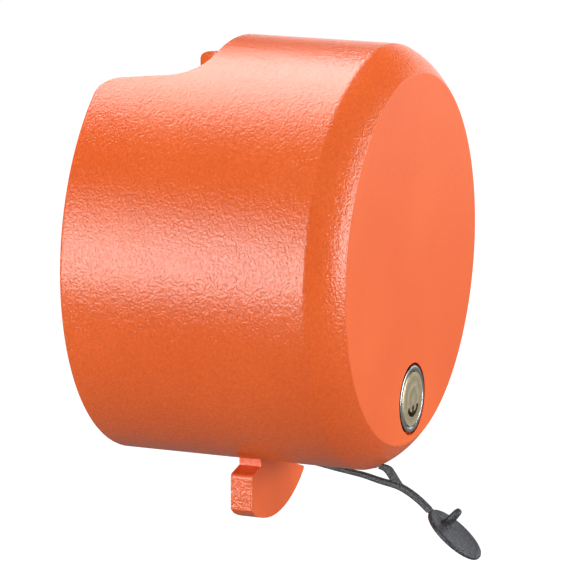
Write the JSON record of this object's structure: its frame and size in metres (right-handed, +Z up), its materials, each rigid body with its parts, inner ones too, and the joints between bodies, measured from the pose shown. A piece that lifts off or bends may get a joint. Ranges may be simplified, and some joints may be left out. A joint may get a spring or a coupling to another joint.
{
  "type": "trailer kingpin lock",
  "caption": "Round cup-shaped steel kingpin lock with a sliding keyhole plate, a disc key cylinder in its front face and a tethered rubber dust cap.",
  "frame": {"origin": "centre of the guide collar's bore at its mouth, just inside the lead-in", "axes": "+Y along the bore's axis, out of the open rear; the front face with the key cylinder looks along -Y; +Z up, with the pull grip and the strap below"},
  "size_m": [0.157, 0.1336, 0.1899],
  "materials": {
    "orange_coat": "orange powder coat, orange peel texture",
    "block_steel": "plain machined steel",
    "black_steel": "black oxide",
    "hard_steel": "ground hardened steel",
    "bezel_steel": "bright plated",
    "plug_brass": "machined nickel brass",
    "strap_rubber": "matt black rubber",
    "pad_nylon": "natural nylon"
  },
  "bodies": {
    "housing": {"shell": "orange_coat", "core_block": "block_steel", "block_screws": "black_steel", "guide_rail_left": "block_steel", "guide_rail_right": "block_steel", "retainer_plate": "block_steel", "guide_collar": "block_steel", "retainer_screws": "black_steel", "pin_buffer": "strap_rubber", "drag_springs": "hard_steel", "drag_pads": "pad_nylon", "lock_barrel": "block_steel", "barrel_bezel": "bezel_steel", "barrel_seal": "strap_rubber", "barrel_dowel": "hard_steel", "drill_guard_pins": "hard_steel", "tether_anchor_front": "strap_rubber", "tether_anchor_rear": "strap_rubber", "tether_front_leg": "strap_rubber", "tether_strap": "strap_rubber", "dust_cap": "strap_rubber"},
    "plate": {"locking_plate": "orange_coat"},
    "key_plug": {"plug": "plug_brass", "detainer_discs": "plug_brass", "sidebar": "hard_steel", "crank_disc": "black_steel", "crank_pin": "hard_steel", "crank_dowel": "hard_steel"}
  },
  "joints": [
    {"name": "plate_slide", "type": "slide", "parent": "housing", "child": "plate", "axis": [0, 0, -1], "range_m": [0, 0.02]},
    {"name": "key_turn", "type": "hinge", "parent": "housing", "child": "key_plug", "pos_m": [0, -0.066, -0.0525], "axis": [0, 1, 0], "range_deg": [0, 90]}
  ]
}
